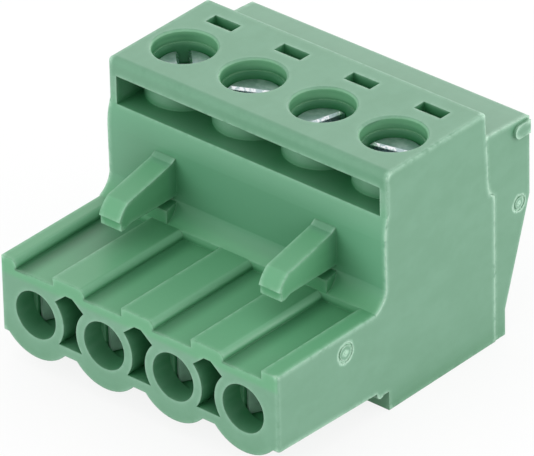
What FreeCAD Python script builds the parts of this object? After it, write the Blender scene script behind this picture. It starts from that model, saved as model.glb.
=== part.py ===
import FreeCAD, Part
import os
from math import hypot, sqrt

# Pluggable terminal block with four poles, lengths in mm. While drawing, x runs along the row of poles,
# y is the depth behind the mating face and z the height above the flat underside. The last step
# moves everything back by half the depth, so the frame's origin is the bottom centre of the block.

# poles
poles = 4
pitch = 5.08
pole_x = [pitch * (i - (poles - 1) / 2) for i in range(poles)]
half_width = pitch * poles / 2

# how far a cutting shape reaches past the face it opens, and how far a joined shape sinks in
beyond = 1.0
bite = 0.20

# clamp screws
head_radius = 1.68
head_height = 1.80
head_edge = 0.14
shank_radius = 1.25
tip_chamfer = 0.25
slot_width = 0.60
slot_depth = 0.90
slot_chamfer = 0.14
slot_angles = (-45.0, 25.0, 75.0, 12.5)

# contacts: current bar, riser and the two spring leaves of the socket
bar_under = 5.50
bar_thickness = 0.80
bar_short_of_cage = 0.18
riser_thickness = 0.80
riser_reach = 1.10
leaf_thickness = 0.32
leaf_lift = 0.08
leaf_end_gap = 0.10
leaf_side_gap = 0.04
leaf_grip_half = 0.60
leaf_grip_run = 0.80
leaf_waist_half = 0.66
leaf_waist_run = 1.70
leaf_root_half = 0.90
leaf_root_run = 2.08
contact_floor_start = 0.60

# clamp cages
cage_length = 4.60
cage_side = 0.55
cage_bottom = 0.90
cage_thread_plate = 1.60
cage_corner = 0.45
cage_bore_corner = 0.20
clamp_opening = 3.00

# clearances
head_clearance = 0.08
shank_clearance = 0.10
thread_clearance = 0.05
bar_clearance = 0.10
slot_side_gap = 0.06
slot_roof_gap = 0.12
cage_bore_gap = 0.02
cage_over_bar = 0.15
tip_above_bar = 0.20
cage_gap = 0.15
cage_front_gap = 0.28
cage_floor_gap = 0.15
plug_gap = 0.42
plug_side_gap = 0.10
plug_floor_gap = 0.15
tab_clearance = 0.09
tongue_gap = 0.20
tongue_side_gap = 0.25

# nose, the part that goes into the mating header
nose_top = 6.65
nose_under_front = 1.82
nose_under_rear = 1.50
pin_height = 3.66
bulge_radius = 2.79
bulge_reach = 2.30
bulge_below_pin = 0.66
pin_hole_radius = 1.487
pin_hole_depth = 1.45
groove_width = 2.74
groove_depth = 0.53
rib_round = 0.40
socket_room_width = 2.40
socket_room_height = 3.00
socket_room_corner = 0.20

# coring holes between the pin holes
core_arc_radius = 2.08
core_below_pin = 1.24
core_above_pin = 1.46
core_crown = 0.66
core_peak_width = 0.50
core_depth = 7.90

# front wall of the body, from its foot up
foot_front = 9.25
bead_radius = 0.30
bead_reach = 0.70
bead_drop = 0.10
bead_web_drop = 0.28
ledge_reach = 1.01
ledge_mid_reach = 0.41
ledge_mid_rise = 0.47
ledge_top_reach = 0.12
ledge_top_rise = 1.15
wall_swell_reach = 0.16
wall_set_back = 0.08
body_top = 15.10
top_edge_radius = 0.45
edge_round = 0.14

# screw holes and the barrels round them
head_below_top = 1.15
seat_wall = 0.75
access_step = 0.11
access_depth = 0.74
access_chamfer = 0.12
barrel_wall = 0.59
barrel_set_back = 1.20

# long window in the front wall, which swells forward below it
window_side_wall = 0.56
window_top_wall = 1.05
window_height = 1.79
window_past_barrels = 0.02
wall_swell_height = 1.40

# roof over the clamp rooms, latch windows over the snap tabs
roof_wall = 1.60
roof_room_gap = 0.17
latch_width = 1.89
latch_length = 0.87
latch_set_back = 0.34

# rear edge of the housing, where the cover meets it
rear_behind_latch = 1.05
seam_lean = 0.79
seam_low_drop = 5.60
seam_mid_reach = 0.37
seam_mid_drop = 5.34
seam_high_reach = 0.52
seam_high_drop = 4.90

# hooks on the front wall
hook_off_middle = 0.775
hook_width = 1.53
hook_above_nose = 1.47
hook_reach = 4.79
hook_tip_rise = 0.40
hook_tip_lead = 0.10
hook_lip_set_back = 0.14
hook_lip_length = 0.28
hook_lip_drop = 0.20
hook_lip_run = 0.91
hook_bend_run = 0.76
hook_bend_rise = 1.35
hook_brow_run = 0.32
hook_brow_rise = 0.96
hook_back_rise = 2.16
hook_root = 0.22
hook_root_start = 0.38
hook_root_end = 0.07
pedestal_front_drop = 0.64
pedestal_rear_drop = 0.42

# rear cover
cover_inset = 0.06
cover_beyond_seam = 3.20
cover_foot_beyond_seam = 1.02
cover_front_drop = 1.55
cover_rear_drop = 1.81
cover_edge_radius = 0.30
slant_top = 8.20
slant_bottom = 1.63
plug_above_bar = 2.10
funnel_sill = 0.25
funnel_below_bar = 0.15
funnel_step = 0.14
funnel_flare_side = 0.63
funnel_flare_down = 0.31
funnel_flare_up = 1.71
funnel_corner = 0.45
funnel_throat_length = 2.60
pocket_side_gap = 0.05
pocket_above_plug = 0.55
pocket_roof = 0.70
pocket_rear_wall = 0.90
pocket_start = 1.50
tongue_lead = 0.24
tongue_thickness = 1.08
tab_below_top = 0.55
tab_ramp = 0.35
tab_ramp_rise = 0.25

# small pads and round marks on the side faces
pad_length = 1.30
pad_end_gap = 0.20
pad_height = 0.85
pad_drop = 0.20
pad_proud = 0.20
mark_depth = 0.06
mark_ring = 0.16
nose_mark_depth = 5.64
nose_mark_drop = 1.16
nose_mark_radius = 0.62
cover_mark_front_of_rear = 1.00
cover_mark_height = 7.99
cover_mark_radius = 0.50

# what follows from the sizes above: heights of screw, bar and cage
head_seat = body_top - head_below_top - head_height
room_ceiling = head_seat - seat_wall
bar_top = bar_under + bar_thickness
shank_end = bar_top + tip_above_bar
cage_inner_bottom = bar_under - clamp_opening
cage_inner_top = bar_top + cage_over_bar
cage_low = cage_inner_bottom - cage_bottom
cage_high = cage_inner_top + cage_thread_plate

# widths of cage, bar and room
cage_inner_width = 2 * (shank_radius + thread_clearance + cage_bore_gap)
bar_width = cage_inner_width - 2 * bar_clearance
cage_width = cage_inner_width + 2 * cage_side
room_width = cage_width + 2 * cage_gap

# depths and heights of the front wall
ledge_front = foot_front - ledge_reach
ledge_mid = (foot_front - ledge_mid_reach, nose_top + ledge_mid_rise)
ledge_top = (foot_front - ledge_top_reach, nose_top + ledge_top_rise)
wall_swell_front = foot_front - wall_swell_reach
wall_front = foot_front + wall_set_back
window_half_width = half_width - window_side_wall
window_top = body_top - window_top_wall
window_bottom = window_top - window_height
wall_swell_low = window_bottom - wall_swell_height
groove_floor = nose_top - groove_depth
web_low = nose_under_rear - bead_web_drop

# screw holes
head_bore_radius = head_radius + head_clearance
shank_hole_radius = shank_radius + shank_clearance
access_radius = head_bore_radius + access_step
access_bottom = body_top - access_depth
barrel_radius = head_bore_radius + barrel_wall
screw_depth = wall_front + barrel_radius + barrel_set_back
window_back = screw_depth + window_past_barrels

# rooms for the clamps and sockets
cage_front = screw_depth - cage_length / 2
cage_rear = screw_depth + cage_length / 2
room_front = cage_front - cage_front_gap
room_floor = cage_low - cage_floor_gap
riser_front = room_front - riser_reach
bar_rear = cage_rear - bar_short_of_cage
socket_floor = pin_height - socket_room_height / 2
roof_under = body_top - roof_wall
roof_room_front = screw_depth + barrel_radius + roof_room_gap

# rear edge and latch windows
latch_front = roof_room_front + latch_set_back
latch_rear = latch_front + latch_length
body_rear_top = latch_rear + rear_behind_latch
body_rear = body_rear_top + seam_lean
seam_low = (body_rear, body_top - seam_low_drop)
seam_mid = (body_rear - seam_mid_reach, body_top - seam_mid_drop)
seam_high = (body_rear - seam_high_reach, body_top - seam_high_drop)

# hooks
hook_middle_x = pole_x[-1] - pitch / 2 + hook_off_middle
hook_under = nose_top + hook_above_nose
hook_tip_front = ledge_top[0] - hook_reach
hook_tip_low = hook_under + hook_tip_rise
hook_lip_front = hook_tip_front + hook_lip_set_back
hook_lip_bottom = hook_under - hook_lip_drop
hook_lip_rear = hook_tip_front + hook_lip_run
hook_back = hook_under + hook_back_rise

# rear cover
cover_half = half_width - cover_inset
cover_rear = body_rear + cover_beyond_seam
cover_foot_rear = body_rear + cover_foot_beyond_seam
cover_top_front = body_top - cover_front_drop
cover_top_rear = body_top - cover_rear_drop
plug_front = cage_rear + plug_gap
plug_top = bar_top + plug_above_bar
funnel_low = cage_inner_bottom + funnel_sill
funnel_high = bar_under - funnel_below_bar
funnel_throat = plug_front + funnel_throat_length
pocket_width = room_width - 2 * pocket_side_gap
pocket_low = plug_top + pocket_above_plug
pocket_high = cover_top_rear - pocket_roof
pocket_rear = cover_rear - pocket_rear_wall
tongue_width = room_width - 2 * tongue_side_gap
tongue_front = latch_front - tongue_lead
tongue_top = roof_under - tongue_gap
tongue_low = tongue_top - tongue_thickness
tab_top = body_top - tab_below_top
pad_rear = cover_rear - pad_end_gap
pad_high = cover_top_rear - pad_drop

depth = cover_rear

V = FreeCAD.Vector
os.makedirs("parts", exist_ok=True)


def box(x0, x1, y0, y1, z0, z1):
    return Part.makeBox(x1 - x0, y1 - y0, z1 - z0, V(x0, y0, z0))


def post(x, y, radius, z0, z1):
    return Part.makeCylinder(radius, z1 - z0, V(x, y, z0), V(0, 0, 1))


def tube(x, z, radius, y0, y1):
    return Part.makeCylinder(radius, y1 - y0, V(x, y0, z), V(0, 1, 0))


def joined(shapes):
    whole = shapes[0].fuse(shapes[1:]) if len(shapes) > 1 else shapes[0]
    return whole.removeSplitter()


def solid_of(shape):
    return shape.Solids[0] if len(shape.Solids) == 1 else shape


def outline(steps, point):
    """Closed wire through steps; a step of two points is an arc by way of the first to the second."""
    edges = []
    last = steps[0]
    for step in list(steps[1:]) + [steps[0]]:
        if isinstance(step[0], tuple):
            edges.append(Part.Arc(point(*last), point(*step[0]), point(*step[1])).toShape())
            last = step[1]
        else:
            if hypot(step[0] - last[0], step[1] - last[1]) > 1e-6:
                edges.append(Part.makeLine(point(*last), point(*step)))
            last = step
    return Part.Wire(edges)


def slab_x(steps, x0, x1):
    """Side profile in depth and height, pushed along the row of poles."""
    wire = outline(steps, lambda y, z: V(x0, y, z))
    return Part.Face(wire).extrude(V(x1 - x0, 0, 0))


def slab_y(steps, y0, y1):
    """Front profile in x and height, pushed backwards."""
    wire = outline(steps, lambda x, z: V(x, y0, z))
    return Part.Face(wire).extrude(V(0, y1 - y0, 0))


def slab_z(steps, z0, z1):
    """Plan profile in x and depth, pushed up."""
    wire = outline(steps, lambda x, y: V(x, y, z0))
    return Part.Face(wire).extrude(V(0, 0, z1 - z0))


def rounded(x0, x1, z0, z1, r):
    """Steps of a rectangle with round corners."""
    k = r * (1 - sqrt(0.5))
    return [(x0 + r, z0), (x1 - r, z0), ((x1 - k, z0 + k), (x1, z0 + r)), (x1, z1 - r),
            ((x1 - k, z1 - k), (x1 - r, z1)), (x0 + r, z1), ((x0 + k, z1 - k), (x0, z1 - r)),
            (x0, z0 + r), ((x0 + k, z0 + k), (x0 + r, z0))]


def soften(shape, radius, wanted):
    """Round the straight edges that wanted(middle, direction, length) picks out."""
    picked = []
    for edge in shape.Edges:
        if edge.Curve.TypeId != "Part::GeomLine" or edge.Length < 0.5:
            continue
        a, b = edge.Vertexes[0].Point, edge.Vertexes[-1].Point
        if wanted((a + b) * 0.5, (b - a).normalize(), edge.Length):
            picked.append(edge)
    if not picked:
        return shape
    return shape.makeFillet(radius, picked)


def nose():
    def outer_edges(middle, way, length):
        if abs(abs(middle.x) - half_width) > 0.01:
            return False
        upright = abs(way.z) > 0.95 and middle.y < 0.1
        side_top = abs(way.y) > 0.95 and abs(middle.z - nose_top) < 0.01
        return upright or side_top

    steps = [(0, nose_under_front), (foot_front, nose_under_rear), (foot_front, nose_top), (0, nose_top)]
    core = soften(slab_x(steps, -half_width, half_width), edge_round, outer_edges)
    back, top = foot_front + bite, pin_height - bulge_below_pin
    bulges = [tube(x, pin_height, bulge_radius, 0, back).common(
        box(x - bulge_reach, x + bulge_reach, 0, back, 0, top)) for x in pole_x]
    bead_start = V(-half_width, foot_front - bead_reach, nose_under_rear - bead_drop)
    bead = Part.makeCylinder(bead_radius, 2 * half_width, bead_start, V(1, 0, 0))
    return joined([core] + bulges + [bead])


def body():
    def outer_edges(middle, way, length):
        if abs(abs(middle.x) - half_width) > 0.01:
            return False
        top = abs(way.y) > 0.95 and abs(middle.z - body_top) < 0.01
        front = abs(way.z) > 0.95 and abs(middle.y - wall_front) < 0.01
        return top or front

    reach = wall_front - wall_swell_front
    swell_middle = (wall_swell_front + reach / 4, wall_swell_low + wall_swell_height / 2)
    steps = [(foot_front, 0), (seam_low[0], 0), seam_low, seam_mid, seam_high, (body_rear_top, body_top),
             (wall_front, body_top), (wall_front, window_bottom),
             (swell_middle, (wall_swell_front, wall_swell_low)), ledge_top,
             (ledge_mid, (ledge_front, nose_top)), (ledge_front, nose_under_rear),
             (foot_front - bead_reach, nose_under_rear), (foot_front - bead_reach, web_low),
             (foot_front, web_low)]
    shell = soften(slab_x(steps, -half_width, half_width), edge_round, outer_edges)
    r = top_edge_radius
    k = r * (1 - sqrt(0.5))
    shaving = [(wall_front, body_top - r), ((wall_front + k, body_top - k), (wall_front + r, body_top)),
               (wall_front + r, body_top + beyond), (wall_front - beyond, body_top + beyond),
               (wall_front - beyond, body_top - r)]
    return shell.cut(slab_x(shaving, -half_width - beyond, half_width + beyond))


def hook(side):
    inside = wall_swell_front + 3 * bite
    bend = (hook_tip_front + hook_bend_run, hook_under + hook_bend_rise)
    brow = (hook_tip_front + hook_brow_run, hook_under + hook_brow_rise)
    steps = [(inside, hook_under), (hook_lip_rear, hook_under),
             (hook_lip_front + hook_lip_length, hook_lip_bottom), (hook_lip_front, hook_lip_bottom),
             (hook_lip_front, hook_tip_low - hook_tip_lead), (hook_tip_front, hook_tip_low), (brow, bend),
             (ledge_top[0] - hook_root_start, hook_back),
             (ledge_top[0] - hook_root_end, hook_back + hook_root),
             (inside, hook_back + hook_root)]
    middle = side * hook_middle_x
    arm = slab_x(steps, middle - hook_width / 2, middle + hook_width / 2)
    sole, rear_top = groove_floor - bite, hook_under - pedestal_rear_drop
    low = [(ledge_front, sole), (inside, sole), (inside, rear_top), (ledge_top[0], rear_top),
           (ledge_front, hook_under - pedestal_front_drop)]
    foot = slab_x(low, middle - hook_width / 2, middle + hook_width / 2)
    return arm.fuse(foot)


def coring_hole(x):
    """Hole between two pins; its flanks are arcs about the pin holes on either side."""
    def flank(z):
        return pitch / 2 - sqrt(core_arc_radius ** 2 - (z - pin_height) ** 2)
    bottom, shoulder = pin_height - core_below_pin, pin_height + core_above_pin
    peak = shoulder + core_crown
    low, high, waist = flank(bottom), flank(shoulder), flank(pin_height)
    steps = [(x - low, bottom), (x + low, bottom), ((x + waist, pin_height), (x + high, shoulder)),
             (x + core_peak_width / 2, peak), (x - core_peak_width / 2, peak), (x - high, shoulder),
             ((x - waist, pin_height), (x - low, bottom))]
    return slab_y(steps, -beyond, core_depth)


def groove(x):
    """Groove on top of the nose; the rib on its left has a round edge."""
    left, right, r = x - groove_width / 2, x + groove_width / 2, rib_round
    k, above = r * (1 - sqrt(0.5)), nose_top + beyond
    steps = [(left, groove_floor), (right, groove_floor), (right, above), (left - r, above),
             (left - r, nose_top), ((left - k, nose_top - k), (left, nose_top - r))]
    return slab_y(steps, -beyond, ledge_front)


def pole_cuts(x):
    """Everything hollow that belongs to one pole of the housing."""
    half = room_width / 2
    sw, sh = socket_room_width / 2, socket_room_height / 2
    slot = bar_width / 2 + slot_side_gap
    latch = latch_width / 2
    behind, above = body_rear + beyond, body_top + beyond
    return [
        groove(x),
        tube(x, pin_height, pin_hole_radius, -beyond, pin_hole_depth),
        slab_y(rounded(x - sw, x + sw, pin_height - sh, pin_height + sh, socket_room_corner),
               pin_hole_depth, room_front + bite),
        box(x - slot, x + slot, riser_front, room_front + bite, pin_height, bar_top + slot_roof_gap),
        box(x - half, x + half, room_front, behind, room_floor, room_ceiling),
        box(x - half, x + half, roof_room_front, behind, room_ceiling - beyond, roof_under),
        box(x - latch, x + latch, latch_front, latch_rear, roof_under - bite, above),
        post(x, screw_depth, shank_hole_radius, room_ceiling - bite, head_seat + bite),
        post(x, screw_depth, head_bore_radius, head_seat, above),
        post(x, screw_depth, access_radius, access_bottom, above),
        Part.makeCone(access_radius, access_radius + access_chamfer + beyond, access_chamfer + beyond,
                      V(x, screw_depth, body_top - access_chamfer), V(0, 0, 1)),
    ]


def long_window():
    opening = box(-window_half_width, window_half_width, wall_swell_front - beyond, window_back,
                  window_bottom, window_top)
    return opening.cut([post(x, screw_depth, barrel_radius, window_bottom - beyond, window_top + beyond)
                        for x in pole_x])


def side_mark(y, z, r, face_x):
    """Shallow ring left by a mould pin, cut into the side face at face_x."""
    ring = Part.makeCylinder(r, mark_depth, V(face_x - mark_depth, y, z), V(1, 0, 0))
    return ring.cut(Part.makeCylinder(r - mark_ring, 2 * beyond, V(face_x - beyond, y, z), V(1, 0, 0)))


def make_housing():
    shell = joined([nose(), body(), hook(-1), hook(1)])
    cuts = [long_window(),
            side_mark(nose_mark_depth, nose_top - nose_mark_drop, nose_mark_radius, half_width)]
    cuts += [coring_hole((a + b) / 2) for a, b in zip(pole_x, pole_x[1:])]
    for x in pole_x:
        cuts += pole_cuts(x)
    return solid_of(shell.cut(cuts).removeSplitter())


def funnel(x):
    """Wire entry: a flared mouth with flat sides, a small step, and a straight throat."""
    half = cage_inner_width / 2
    throat = slab_y(rounded(x - half, x + half, funnel_low, funnel_high, funnel_corner),
                    plug_front - beyond, funnel_throat + bite)
    near = (half + funnel_step, funnel_low - funnel_step, funnel_high + funnel_step)
    far = (half + funnel_step + funnel_flare_side, funnel_low - funnel_step - funnel_flare_down,
           funnel_high + funnel_step + funnel_flare_up)
    end = cover_rear + beyond
    grow = (end - funnel_throat) / (cover_rear - funnel_throat)
    wide, low, high = (a + (b - a) * grow for a, b in zip(near, far))
    plan = slab_z([(x - near[0], funnel_throat), (x + near[0], funnel_throat), (x + wide, end),
                   (x - wide, end)], low, high)
    side = slab_x([(funnel_throat, near[1]), (end, low), (end, high), (funnel_throat, near[2])],
                  x - wide, x + wide)
    flare = soften(plan.common(side), funnel_corner, lambda middle, way, length: abs(way.y) > 0.7)
    return [throat, flare]


def side_pad(side):
    r = pad_height / 2
    front, middle = pad_rear - pad_length, pad_high - r
    steps = [(pad_rear, middle - r), (pad_rear, pad_high), (front + r, pad_high),
             ((front, middle), (front + r, middle - r))]
    inner, outer = cover_half - bite, cover_half + pad_proud
    return slab_x(steps, inner, outer) if side > 0 else slab_x(steps, -outer, -inner)


def cover_shell():
    """Outer form of the cover; its rear top edge is rounded after the upright edges are softened."""
    seam_x = body_rear_top + (seam_high[0] - body_rear_top) * (body_top - cover_top_front) \
        / (body_top - seam_high[1])
    steps = [(seam_low[0], 0), (cover_foot_rear, 0), (cover_foot_rear, slant_bottom),
             (cover_rear, slant_top), (cover_rear, cover_top_rear), (seam_x, cover_top_front),
             seam_high, seam_mid, seam_low]

    def rear_edges(middle, way, length):
        if abs(abs(middle.x) - cover_half) > 0.01:
            return False
        return abs(way.z) > 0.9 and middle.y > cover_foot_rear - 0.1 and length > 1.0

    shell = soften(slab_x(steps, -cover_half, cover_half), edge_round, rear_edges)
    r = cover_edge_radius
    k = r * (1 - sqrt(0.5))
    slope = (cover_top_front - cover_top_rear) / (cover_rear - seam_x)
    shaving = [(cover_rear, cover_top_rear - r), ((cover_rear - k, cover_top_rear + k * (slope - 1)),
                                                  (cover_rear - r, cover_top_rear + r * slope)),
               (cover_rear - r, cover_top_rear + beyond), (cover_rear + beyond, cover_top_rear + beyond),
               (cover_rear + beyond, cover_top_rear - r)]
    return shell.cut(slab_x(shaving, -cover_half - beyond, cover_half + beyond))


def snap_tab(x):
    """Ramped tab on the tongue, which springs into the latch window above it."""
    half = latch_width / 2 - tab_clearance
    front, rear = latch_front + tab_clearance, latch_rear - tab_clearance
    ramp = [(front, tongue_top - bite), (rear, tongue_top - bite), (rear, tab_top),
            (front + tab_ramp, tab_top), (front, tongue_top + tab_ramp_rise)]
    return slab_x(ramp, x - half, x + half)


def make_cover():
    extra = [side_pad(-1), side_pad(1)]
    mark_middle = cover_rear - cover_mark_front_of_rear
    cuts = [side_mark(mark_middle, cover_mark_height, cover_mark_radius, cover_half)]
    half = room_width / 2 - plug_side_gap
    for x in pole_x:
        extra.append(box(x - half, x + half, plug_front, seam_low[0] + bite,
                         room_floor + plug_floor_gap, plug_top))
        extra.append(box(x - tongue_width / 2, x + tongue_width / 2, tongue_front,
                         seam_high[0] + bite / 2, tongue_low, tongue_top))
        extra.append(snap_tab(x))
        cuts.append(box(x - pocket_width / 2, x + pocket_width / 2, seam_high[0] - pocket_start,
                        pocket_rear, pocket_low, pocket_high))
        cuts += funnel(x)
    return solid_of(joined([cover_shell()] + extra).cut(cuts).removeSplitter())


def leaf(x, side):
    """One spring leaf of the socket: a bent strip seen from above, standing on its edge."""
    mouth_half = (socket_room_width - leaf_thickness) / 2 - leaf_side_gap
    tip = pin_hole_depth + leaf_end_gap
    grip = tip + leaf_grip_run
    waist = grip + leaf_waist_run
    path = ((mouth_half, tip), (leaf_grip_half, grip), (leaf_waist_half, waist),
            (leaf_root_half, waist + leaf_root_run), (leaf_root_half, riser_front + riser_thickness / 2))
    pts = [V(px, py, 0) for px, py in path]
    left, right = [], []
    for i, p in enumerate(pts):
        before, after = pts[max(i - 1, 0)], pts[min(i + 1, len(pts) - 1)]
        way = (after - before).normalize()
        across = V(way.y, -way.x, 0) * (leaf_thickness / 2)
        left.append((x + side * (p.x + across.x), p.y + across.y))
        right.append((x + side * (p.x - across.x), p.y - across.y))
    return slab_z(left + right[::-1], socket_floor + leaf_lift, 2 * pin_height - socket_floor - leaf_lift)


def make_contact(x):
    half = bar_width / 2
    wide = leaf_root_half
    root = pin_hole_depth + leaf_end_gap + leaf_grip_run + leaf_waist_run + leaf_root_run
    floor = box(x - wide, x + wide, root - contact_floor_start, riser_front + bite / 2, socket_floor,
                socket_floor + leaf_thickness)
    riser = box(x - wide, x + wide, riser_front, riser_front + riser_thickness, socket_floor, bar_top)
    bar = box(x - half, x + half, riser_front, bar_rear, bar_under, bar_top)
    return solid_of(joined([leaf(x, -1), leaf(x, 1), floor, riser, bar]))


def make_cage(x):
    half = cage_width / 2
    outer = slab_y(rounded(x - half, x + half, cage_low, cage_high, cage_corner),
                   cage_front, cage_rear)
    inner = cage_inner_width / 2
    hollow = slab_y(rounded(x - inner, x + inner, cage_inner_bottom, cage_inner_top, cage_bore_corner),
                    cage_front - beyond, cage_rear + beyond)
    thread = post(x, screw_depth, shank_radius + thread_clearance, cage_inner_top - bite,
                  cage_high + bite)
    return solid_of(outer.cut([hollow, thread]))


def make_screw(x, angle):
    top = head_seat + head_height
    profile = [(0, shank_end), (shank_radius - tip_chamfer, shank_end),
               (shank_radius, shank_end + tip_chamfer), (shank_radius, head_seat), (head_radius, head_seat),
               (head_radius, top - head_edge), (head_radius - head_edge, top), (0, top)]
    wire = outline(profile, lambda r, z: V(r, 0, z))
    shape = Part.Face(wire).revolve(V(0, 0, 0), V(0, 0, 1), 360)
    across, half = head_radius + beyond, slot_width / 2
    low, lip, wide = top - slot_depth, top - slot_chamfer, half + slot_chamfer + beyond
    steps = [(-half, low), (half, low), (half, lip), (wide, top + beyond), (-wide, top + beyond),
             (-half, lip)]
    slot = slab_x(steps, -across, across)
    slot.rotate(V(0, 0, 0), V(0, 0, 1), angle)
    shape = shape.cut(slot)
    shape.translate(V(x, screw_depth, 0))
    return solid_of(shape)


def save(name, shape):
    shape = shape.copy()
    shape.translate(V(0, -depth / 2, 0))
    shape.exportStep("parts/" + name + ".step")
    box_ = shape.BoundBox
    print(name, "solids", len(shape.Solids), "valid", shape.isValid(), "volume", round(shape.Volume, 2),
          "x", round(box_.XMin, 3), round(box_.XMax, 3), "y", round(box_.YMin, 3), round(box_.YMax, 3),
          "z", round(box_.ZMin, 3), round(box_.ZMax, 3))


save("housing", make_housing())
save("rear_cover", make_cover())
for number, (x, angle) in enumerate(zip(pole_x, slot_angles), 1):
    save("socket_contact_%d" % number, make_contact(x))
    save("clamp_cage_%d" % number, make_cage(x))
    save("clamp_screw_%d" % number, make_screw(x, angle))
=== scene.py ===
from math import cos, pi, prod, radians, sin
import bpy
import numpy as np
from mathutils import Matrix, Vector


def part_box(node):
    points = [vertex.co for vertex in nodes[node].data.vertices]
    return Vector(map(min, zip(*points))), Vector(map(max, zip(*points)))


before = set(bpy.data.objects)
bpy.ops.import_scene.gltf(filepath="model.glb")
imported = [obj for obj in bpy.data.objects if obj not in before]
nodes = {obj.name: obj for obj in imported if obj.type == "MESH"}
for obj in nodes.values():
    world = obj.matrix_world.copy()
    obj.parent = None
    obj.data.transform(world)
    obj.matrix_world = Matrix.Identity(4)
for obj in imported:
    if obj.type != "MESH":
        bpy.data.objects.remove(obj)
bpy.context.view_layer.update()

mm = 0.001
firstPole, nextPole = (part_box("socket_contact_" + pole)[0][0] for pole in "12")
poleStep = nextPole - firstPole
print("frame loaded:", len(nodes), "nodes, poles", round(poleStep / mm, 2), "mm apart")


def fromSrgb(red, green, blue):
    # a colour written as 0 to 255 values, as the linear colour that a shader takes
    part = np.array((red, green, blue)) / 255
    linear = np.where(part <= 0.04045, part / 12.92, ((part + 0.055) / 1.055) ** 2.4)
    return (*linear.tolist(), 1.0)


class Wire:
    # a socket that can be added, multiplied and so on; each sign adds a Math node
    def __init__(self, sheet, socket):
        self.sheet, self.socket = sheet, socket

    def maths(self, operation, first, second):
        return self.sheet.node("Math", {"operation": operation}, {0: first, 1: second})

    def __add__(self, other):
        return self.maths("ADD", self, other)

    def __radd__(self, other):
        return self.maths("ADD", other, self)

    def __sub__(self, other):
        return self.maths("SUBTRACT", self, other)

    def __rsub__(self, other):
        return self.maths("SUBTRACT", other, self)

    def __mul__(self, other):
        return self.maths("MULTIPLY", self, other)

    def __rmul__(self, other):
        return self.maths("MULTIPLY", other, self)

    def __truediv__(self, other):
        return self.maths("DIVIDE", self, other)

    def __pow__(self, other):
        return self.maths("POWER", self, other)

    def __abs__(self):
        return self.sheet.node("Math", {"operation": "ABSOLUTE"}, {0: self})


class Finish:
    # a material, or the world, being wired up
    def __init__(self, owner):
        self.owner = owner
        owner.use_nodes = True
        self.tree = owner.node_tree
        self.tree.nodes.clear()

    def node(self, kind, settings=None, sockets=None, out=0):
        # its settings come first, then its sockets' values or links; it answers with the output named
        made = self.tree.nodes.new("ShaderNode" + kind)
        for name, value in (settings or {}).items():
            setattr(made, name, value)
        for name, value in (sockets or {}).items():
            if isinstance(value, Wire):
                self.tree.links.new(value.socket, made.inputs[name])
            else:
                made.inputs[name].default_value = value
        return Wire(self, made.outputs[out]) if made.outputs else None

    def place(self):
        return self.node("TexCoord", out="Object")

    def axes(self, where):
        return [self.node("SeparateXYZ", None, {0: where}, out=axis) for axis in "XYZ"]

    def noise(self, where, size, detail=2.0, rough=0.5, stretch=(1, 1, 1)):
        # size is the width of one lump, in mm
        spot = self.node("Mapping", None, {"Vector": where, "Scale": [k / (size * mm) for k in stretch]})
        sockets = {"Vector": spot, "Scale": 1.0, "Detail": detail, "Roughness": rough}
        return self.node("TexNoise", None, sockets)

    def ramp(self, value, none, full):
        # 0 at none and beyond it, 1 at full and beyond it, smooth between, whichever is the larger
        return self.node("MapRange", {"interpolation_type": "SMOOTHSTEP"},
                         {"Value": value, "From Min": none, "From Max": full})

    def zone(self, along, limits):
        # 1 inside all the limits; each is an axis, where the zone is nothing and where it is full, in mm
        return prod(self.ramp(along[axis], none * mm, full * mm) for axis, none, full in limits)

    def openness(self, reach, **settings):
        # 1 where nothing stands within reach, in mm, and less in holes and corners or, inside, by outer edges
        return self.node("AmbientOcclusion", {"samples": 4, **settings}, {"Distance": reach * mm}, out="AO")

    def rounded(self, radius):
        # the normal of an edge as if it had this radius, in mm
        return self.node("Bevel", {"samples": 6}, {"Radius": radius * mm})

    def blend(self, share, first, second):
        return self.node("Mix", {"data_type": "RGBA"}, {"Factor": share, 6: first, 7: second}, out=2)

    def bump(self, height, distance, strength, normal=None):
        # distance is the height of the bumps, in mm
        sockets = {"Height": height, "Distance": distance * mm, "Strength": strength}
        if normal:
            sockets["Normal"] = normal
        return self.node("Bump", None, sockets)

    def surface(self, sockets):
        body = self.node("BsdfPrincipled", None, sockets)
        self.node("OutputMaterial", None, {"Surface": body})
        return self.owner


# housing and rear cover: one green moulded plastic; lengths in mm
markLook = {
    "places": ((-5.185, 5.49, 0.62), (9.825, 7.99, 0.5)),    # depth, height, radius
    "wobble": {"size": 0.5, "detail": 1}, "wobbleShare": 0.7,              # makes them ragged
    "ringIn": (0.55, 0.85), "ringOut": (1.35, 1.0), "dot": (0.45, 0.2),      # in radii
    "grainSpan": (0.3, 0.6), "share": 0.85,
}


def mouldMark(finish, where, depth, height, radius):
    # whitish ring and dot that a mould pin leaves on the right side face
    look = markLook
    middle = (0, depth * mm, height * mm)
    offset = finish.node("VectorMath", {"operation": "SUBTRACT"}, {0: where, 1: middle})
    flat = finish.node("VectorMath", {"operation": "MULTIPLY"}, {0: offset, 1: (0, 1, 1)})
    wobble = finish.noise(where, **look["wobble"]) - 0.5
    away = finish.node("VectorMath", {"operation": "LENGTH"}, {0: flat}, out="Value")
    away = away / (radius * mm) + wobble * look["wobbleShare"]
    ring = finish.ramp(away, *look["ringIn"]) * finish.ramp(away, *look["ringOut"])
    return ring + finish.ramp(away, *look["dot"])


holeLook = {
    "green": fromSrgb(112, 178, 130),      # painted highlight: the lit upper band of the screwdriver holes
    "middle": 2.055, "radius": 1.96, "soft": 0.03,
    "top": 15.00, "fade": 0.85,
    "ledge": 14.36, "ledgeSpan": (0.10, 0.01),
    "wobble": 1.7,             # how far the rings shift the bands
    "lipSpan": (1.0, 0.2), "lipStart": (-0.15, 0.0), "lipShare": 0.45,
    "darkSpan": (0.3, 1.2), "darkShare": 0.5, "ledgeShare": 0.4,
}


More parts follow.
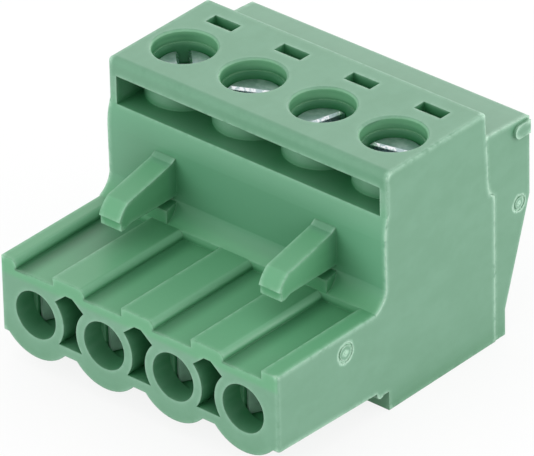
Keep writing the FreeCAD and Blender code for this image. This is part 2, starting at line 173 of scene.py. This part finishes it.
def holeShade(finish, along, rings):
    # painted light and shade in a screwdriver hole: a painted highlight on its lip, painted shade further
    # down it, and a painted dark line along its ledge
    look = holeLook
    depth = along["y"] - look["middle"] * mm
    away = (along["offPole"] * along["offPole"] + depth * depth) ** 0.5
    inside = finish.ramp(away, look["radius"] * mm, (look["radius"] - look["soft"]) * mm)
    down = (look["top"] * mm - along["z"]) / (look["fade"] * mm) + (rings - 0.5) * look["wobble"]
    litLip = inside * finish.ramp(down, *look["lipSpan"]) * finish.ramp(down, *look["lipStart"])
    paintedHoleShade = inside * finish.ramp(down, *look["darkSpan"])
    fromLedge = abs(along["z"] - look["ledge"] * mm)
    ledge = inside * finish.ramp(fromLedge, *(reach * mm for reach in look["ledgeSpan"]))
    return litLip, paintedHoleShade, ledge


inboard = ("x", 10.14, 10.08)              # spares the right side face
onNose = (inboard, ("y", -1.1, -1.3), ("z", 5.4, 5.8), ("z", 13.5, 11.5))
grooveFloor = ("z", 5.95, 6.05)
pastLedge = ("y", -2.4, -2.7)
# a limit is an axis, the place on it where the zone is nothing and the place where it is full
# zones where light and shade are painted, and masks for the edges and the mould marks
greenZones = {
    "nose": onNose,
    "high": onNose + (("z", 6.8, 7.8), ("y", -2.6, -2.1)),
    "wall": onNose + (("y", -2.4, -1.9), ("offMiddle", 10.2, 6.2), ("z", 13.2, 10.4)),
    "groove": (("x", -6.0, -6.3), ("x", -9.2, -8.8), ("y", -2.4, -3.0), ("y", -11.0, -4.0),
               ("z", 6.40, 6.25), grooveFloor),
    "foot": (("shifted", -0.10, -1.12), ("offPole", -1.52, -1.44), pastLedge,
             ("z", 6.26, 6.14), grooveFloor),
    "rim": (inboard, pastLedge, ("y", -10.81, -10.77), ("z", 6.18, 6.42), ("z", 6.65, 6.62)),
    "brow": (inboard, ("y", -1.0, -1.2), ("z", 13.9, 14.1)),
    "room": (("y", -1.2, -0.9), ("y", 1.6, 1.1), ("z", 12.4, 12.6), ("z", 14.3, 14.1)),
    "leftGroove": (("x", -5.0, -5.8),),
    "matingFace": (("y", -10.2, -10.6),),
    "outerSide": (("offCentre", 9.7, 9.9),),
    "markedSide": (("x", 9.9, 10.0),),
}
# colour of the painted shade
paintedShadeGreen = fromSrgb(75, 131, 98)
# painted light and shade: the colour of a zone, and its share where the zone is full
paintedLightTones = {
    "nose": (fromSrgb(90, 154, 113), 1.0),     # painted bounce light: a richer green over the nose, where green lights green
    "high": (fromSrgb(94, 151, 118), 1.0),     # painted light: greyer again up the front wall
    "wall": (paintedShadeGreen, 0.62),                  # painted shade on its middle
    "groove": (paintedShadeGreen, 0.75),                # painted shade on the floor of the left groove
    "foot": (fromSrgb(36, 96, 60), 0.89),      # painted shade along the left side of each groove
    "rim": (fromSrgb(150, 198, 170), 0.16),    # painted highlight on the upper part of that side
    "brow": (paintedShadeGreen, 0.33),                  # painted shade on the strip over the long window
}
zoneLook = {
    "offMiddle": 0.6,          # the painted shade on the front wall is deepest this far left of the centre
    "footShift": 0.1,          # the left groove's painted shade is wider by this
    "footLess": 0.74,          # share of that painted shade which the other grooves have
    "keeps": {"rim": 1.0, "foot": 0.67, "room": 0.35},   # how far each zone is spared the painted shade of the hollows
}


def greenPlaces(finish, where):
    # the three axes, and how far a point lies beside the nearest pole's middle, beside the block's centre
    # and beside the line of deepest painted shade on the front wall
    x, y, z = finish.axes(where)
    half = poleStep / 2
    offPole = finish.node("Math", {"operation": "WRAP"}, {0: x - half, 1: half, 2: -half})
    return {"x": x, "y": y, "z": z, "offPole": offPole, "offCentre": abs(x),
            "offMiddle": abs(x + zoneLook["offMiddle"] * mm)}


def greenMasks(finish, along):
    left = finish.zone(along, greenZones["leftGroove"])
    along["shifted"] = along["offPole"] - zoneLook["footShift"] * mm * left
    masks = {name: finish.zone(along, limits) for name, limits in greenZones.items()}
    masks["foot"] = masks["foot"] * (zoneLook["footLess"] + (1 - zoneLook["footLess"]) * left)
    return masks


plasticLook = {
    "pale": fromSrgb(104, 151, 123),
    "deep": fromSrgb(98, 146, 117),
    "flow": {"size": 1.6, "detail": 3, "rough": 0.55, "stretch": (1, 0.55, 1)},    # left by the melt
    "speck": {"size": 0.45, "detail": 2, "rough": 0.6},
    "flowPart": 0.75,          # the flow's share of the soft clouds; the specks make up the rest
    "cloudSpan": (0.35, 0.66),
    "roughness": 0.39,
    "roughSpeck": 0.07,
    "roughFlow": 0.05,
    "gloss": 1.6,              # index of refraction
    "grain": {"size": 0.09, "detail": 3, "rough": 0.6},    # spark-eroded mould skin
    "grainHeight": 0.004,
    "grainShare": 0.7,
    "edgeRadius": 0.09,
}
# painted shade: holes and inner corners darken towards a deep green
hollowShadeLook = {
    "green": fromSrgb(37, 115, 67),        # painted shade: deep corners and holes turn to it
    "reach": 4.0,              # how near walls must be to paint shade on each other in a hole
    "span": (0.92, 0.0),
    "share": 0.85,
    "cornerReach": 0.8,        # and in an inner corner, for painted shade there
    "cornerSpan": (0.9, 0.3),
    "cornerShare": 0.55,
    "rings": {"size": 0.5, "detail": 1, "stretch": (0.14, 0.14, 1)},   # bands of stronger and weaker painted shade on hole walls, where the core pins leave rings
    "ringDepth": (0.6, 0.8),   # the least painted shade, and what the rings add
}
edgeHighlightAndScuffLook = {
    "pale": fromSrgb(184, 222, 198),       # pale outer edges: a painted edge highlight, and scuffs and burrs as well
    "reach": 0.36,             # how far in from an edge the painted highlight and scuffing go
    "span": (0.85, 0.50),
    "speckSpan": (0.18, 0.58),
    "openSpan": (0.35, 0.7),   # none in holes
    "share": 0.42,             # inner edges; the sides' outer edges get sideShare on top
    "sideShare": 0.50,
    "faceLess": 0.45,          # how much of the painted highlight and scuffing the mating face loses
}


def mouldedGreen():
    look = plasticLook
    finish = Finish(bpy.data.materials.new("moulded_green"))
    where = finish.place()
    along = greenPlaces(finish, where)
    masks = greenMasks(finish, along)
    flow, speck, grain = (finish.noise(where, **look[name]) for name in ("flow", "speck", "grain"))
    cloud = finish.ramp(flow * look["flowPart"] + speck * (1 - look["flowPart"]), *look["cloudSpan"])
    colour = finish.blend(cloud, look["deep"], look["pale"])
    # painted light and shade by zone: bounce light, dim wall and groove floors, a rim highlight
    for name, (tone, share) in paintedLightTones.items():
        colour = finish.blend(masks[name] * share, colour, tone)

    hollowShade = hollowShadeLook
    # painted shade in holes and inner corners, less in the spared zones
    kept = prod(1 - share * masks[name] for name, share in zoneLook["keeps"].items())
    openness = finish.openness(hollowShade["reach"])
    rings = finish.noise(where, **hollowShade["rings"])
    least, more = hollowShade["ringDepth"]
    depth = finish.ramp(openness, *hollowShade["span"]) * hollowShade["share"] * (least + more * rings)
    colour = finish.blend(depth * kept, colour, hollowShade["green"])
    corner = finish.ramp(finish.openness(hollowShade["cornerReach"]), *hollowShade["cornerSpan"])
    colour = finish.blend(corner * kept * hollowShade["cornerShare"], colour, hollowShade["green"])
    # painted highlight on each hole's lip, painted shade further down it and along its ledge
    litLip, paintedHoleShade, ledge = holeShade(finish, along, rings)
    colour = finish.blend(litLip * holeLook["lipShare"], colour, holeLook["green"])
    colour = finish.blend(paintedHoleShade * holeLook["darkShare"], colour, hollowShade["green"])
    colour = finish.blend(ledge * holeLook["ledgeShare"], colour, hollowShade["green"])

    # painted edge highlight, mixed with scuffs and burrs, along outer edges
    edgeHighlightAndScuff = edgeHighlightAndScuffLook
    unbroken = finish.openness(edgeHighlightAndScuff["reach"], inside=True, only_local=True)
    highlitAndWorn = finish.ramp(unbroken, *edgeHighlightAndScuff["span"]) * finish.ramp(speck, *edgeHighlightAndScuff["speckSpan"])
    highlitAndWorn = highlitAndWorn * finish.ramp(openness, *edgeHighlightAndScuff["openSpan"])
    share = edgeHighlightAndScuff["share"] + edgeHighlightAndScuff["sideShare"] * masks["outerSide"]
    share = share * (1 - edgeHighlightAndScuff["faceLess"] * masks["matingFace"])
    colour = finish.blend(highlitAndWorn * share, colour, edgeHighlightAndScuff["pale"])
    marks = sum(mouldMark(finish, where, *mark) for mark in markLook["places"])
    marks = marks * masks["markedSide"] * finish.ramp(grain, *markLook["grainSpan"])
    colour = finish.blend(marks * markLook["share"], colour, edgeHighlightAndScuff["pale"])

    rough = look["roughness"] + look["roughSpeck"] * speck + look["roughFlow"] * flow
    skin = finish.bump(grain, look["grainHeight"], look["grainShare"], finish.rounded(look["edgeRadius"]))
    return finish.surface({"Base Color": colour, "Roughness": rough, "IOR": look["gloss"], "Normal": skin})


# clamp screws: plated steel, dull on the flat, nicked along the slot's bevels and painted bright there as a
# glint; lengths in mm
screwLook = {
    "paintedGlint": fromSrgb(244, 247, 250),
    "dull": fromSrgb(184, 204, 206),       # slightly green: a painted reflection of the green hole walls
    "pale": fromSrgb(220, 229, 234),
    "cloud": {"size": 0.7, "detail": 4, "rough": 0.6}, "cloudSpan": (0.35, 0.65),
    "grain": {"size": 0.08, "detail": 2, "rough": 0.6}, "grainHeight": 0.003, "grainShare": 0.6,
    "nicks": {"size": 0.26, "detail": 2, "rough": 0.6}, "nickSpan": (0.44, 0.58),
    "nickHeight": 0.03, "nickShare": 0.8,
    "bevelRise": (0.95, 0.85),             # a face that looks up less than this is a bevel or a wall
    "wallRise": (0.3, 0.5),                # and one that looks up less than this is a wall
    "wallLess": 0.7,                       # share of the bevel's finish which a wall has
    "roughness": 0.24, "roughCloud": 0.14, "roughBright": 0.12,
    "edgeRadius": 0.06,
}


def platedSteel():
    look = screwLook
    finish = Finish(bpy.data.materials.new("plated_steel"))
    where = finish.place()
    cloud, grain, nicks = (finish.noise(where, **look[name]) for name in ("cloud", "grain", "nicks"))
    rise = finish.axes(finish.node("NewGeometry", out="True Normal"))[2]
    lessWall = look["wallLess"] + (1 - look["wallLess"]) * finish.ramp(rise, *look["wallRise"])
    bevel = finish.ramp(rise, *look["bevelRise"]) * lessWall
    # a painted glint: the bevels turn bright where the nicks stand out
    paintedGlint = bevel * finish.ramp(nicks, *look["nickSpan"])
    colour = finish.blend(finish.ramp(cloud, *look["cloudSpan"]), look["dull"], look["pale"])
    colour = finish.blend(bevel, colour, look["dull"])
    colour = finish.blend(paintedGlint, colour, look["paintedGlint"])
    rough = look["roughness"] + look["roughCloud"] * cloud - look["roughBright"] * paintedGlint
    skin = finish.bump(grain, look["grainHeight"], look["grainShare"], finish.rounded(look["edgeRadius"]))
    skin = finish.bump(nicks * bevel, look["nickHeight"], look["nickShare"], skin)
    return finish.surface({"Base Color": colour, "Metallic": 1.0, "Roughness": rough, "Normal": skin})


# contacts and cages: rolled sheet, plated; lengths in mm
# the contacts' tin is tinted green: a painted reflection of the green plastic round them
contactLook = {"colour": fromSrgb(160, 200, 178), "roughness": 0.48, "metallic": 0.6}
cageLook = {"colour": fromSrgb(196, 190, 172), "roughness": 0.20, "metallic": 1.0}
sheetLook = {
    "grain": {"size": 0.12, "detail": 3, "rough": 0.6, "stretch": (1, 0.12, 1)},   # drawn out by rolling
    "grainHeight": 0.003, "grainShare": 0.5, "roughGrain": 0.12,
    "cloud": {"size": 0.9, "detail": 3}, "cloudSpan": (0.3, 0.7), "cloudDark": 0.78,
}


def platedSheet(name, piece):
    look = sheetLook
    finish = Finish(bpy.data.materials.new(name))
    where = finish.place()
    grain, cloud = (finish.noise(where, **look[name]) for name in ("grain", "cloud"))
    shade = (*(look["cloudDark"] * part for part in piece["colour"][:3]), 1.0)
    tone = finish.blend(finish.ramp(cloud, *look["cloudSpan"]), shade, piece["colour"])
    rough = piece["roughness"] + look["roughGrain"] * grain
    skin = finish.bump(grain, look["grainHeight"], look["grainShare"])
    return finish.surface({"Base Color": tone, "Metallic": piece["metallic"], "Roughness": rough,
                           "Normal": skin})


def dress():
    green = mouldedGreen()
    metals = {
        "clamp_screw": platedSteel(),
        "clamp_cage": platedSheet("nickel_plate", cageLook),
        "socket_contact": platedSheet("tin_plate", contactLook),
    }
    for name, node in nodes.items():
        kind = name.rsplit("_", 1)[0]
        node.data.materials.clear()
        node.data.materials.append(metals.get(kind, green))
    print("materials on", len(nodes), "nodes")


dress()

# places and sizes in metres; a lamp that isn't mirrored leaves no glint
studio = {
    "floor": fromSrgb(240, 240, 240),
    "floorWhite": 0.86,        # share of plain white that the camera and reflections see in the floor
    "floorReach": 3.0,
    "floorDrop": 0.02 * mm,    # it lies this far under the block, so that the two don't flicker
    "white": (1, 1, 1, 1),
    "sky": 1.0,                # brightness of the white all round
    "lamps": {
        "rear": {"at": (-0.17, 0.57, 0.18), "size": (0.60, 0.30), "glow": 1.7, "mirrored": True},
        "right": {"at": (0.55, 0.30, 0.15), "size": (0.50, 0.30), "glow": 2.74, "mirrored": True},
        "front": {"at": (-0.28, -0.60, 0.22), "size": (0.50, 0.40), "glow": 2.66, "mirrored": False},
    },
}


def paleFloor():
    # a flat square: x and y each run from -reach to reach, and z is a constant, just under the block
    edge = np.linspace(-studio["floorReach"], studio["floorReach"], 2)
    across, along = (grid.ravel() for grid in np.meshgrid(edge, edge))
    points = np.stack([across, along, np.full_like(across, -studio["floorDrop"])], 1)
    mesh = bpy.data.meshes.new("floor")
    mesh.from_pydata(points.tolist(), [], [(0, 1, 3, 2)])
    floor = bpy.data.objects.new("floor", mesh)
    bpy.context.scene.collection.objects.link(floor)
    finish = Finish(bpy.data.materials.new("pale_floor"))
    ray = finish.node("LightPath", out="Is Camera Ray") + finish.node("LightPath", out="Is Glossy Ray")
    board = finish.node("BsdfDiffuse", None, {"Color": studio["floor"]})
    glow = finish.node("Emission", None, {"Color": studio["white"], "Strength": 1.0})
    both = finish.node("MixShader", None, {0: ray * studio["floorWhite"], 1: board, 2: glow})
    finish.node("OutputMaterial", None, {"Surface": both})
    mesh.materials.append(finish.owner)


def whiteSky():
    world = bpy.data.worlds.new("studio")
    bpy.context.scene.world = world
    sky = Finish(world)
    backdrop = sky.node("Background", None, {"Color": studio["white"], "Strength": studio["sky"]})
    sky.node("OutputWorld", None, {"Surface": backdrop})


def lampUp(name, plan):
    # an area lamp turned to the block; glow is how bright its face is, whatever its size
    lamp = bpy.data.lights.new(name, "AREA")
    lamp.shape = "RECTANGLE"
    lamp.size, lamp.size_y = plan["size"]
    lamp.energy = plan["glow"] * pi * lamp.size * lamp.size_y
    holder = bpy.data.objects.new(name, lamp)
    holder.location = plan["at"]
    holder.visible_glossy = plan["mirrored"]
    holder.rotation_euler = (-Vector(plan["at"])).to_track_quat("-Z", "Y").to_euler()
    bpy.context.scene.collection.objects.link(holder)


# the photograph's viewing angle: angles in degrees, places in metres
lens = {
    "azimuth": 41.58, "height": 31.24, "roll": -1.30,
    "aim": (-0.000201, 0.000281, 0.006921), "distance": 0.4369,
    "sensor": 36,              # mm
    "focalPixels": 7857.5, "framePixels": 534,   # focal length and width of the frame, in its pixels
    "clip": (0.01, 20),
}


def cameraUp():
    turn, lift, roll = (radians(lens[k]) for k in ("azimuth", "height", "roll"))
    back = Vector((sin(turn) * cos(lift), -cos(turn) * cos(lift), sin(lift)))
    side = Vector((0, 0, 1)).cross(back).normalized()
    top = back.cross(side)
    right = cos(roll) * side + sin(roll) * top
    upward = -sin(roll) * side + cos(roll) * top
    camera = bpy.data.cameras.new("camera")
    camera.sensor_width = lens["sensor"]
    camera.lens = lens["focalPixels"] * lens["sensor"] / lens["framePixels"]
    camera.clip_start, camera.clip_end = lens["clip"]
    holder = bpy.data.objects.new("camera", camera)
    turned = Matrix((right, upward, back)).transposed().to_4x4()
    holder.matrix_world = Matrix.Translation(Vector(lens["aim"]) + back * lens["distance"]) @ turned
    bpy.context.scene.collection.objects.link(holder)
    bpy.context.scene.camera = holder


paleFloor()
whiteSky()
for lampName, lampPlan in studio["lamps"].items():
    lampUp(lampName + "_lamp", lampPlan)
cameraUp()
bpy.context.scene.view_settings.view_transform = "Standard"
print("floor, lamps and camera are up")

print("scene finished")
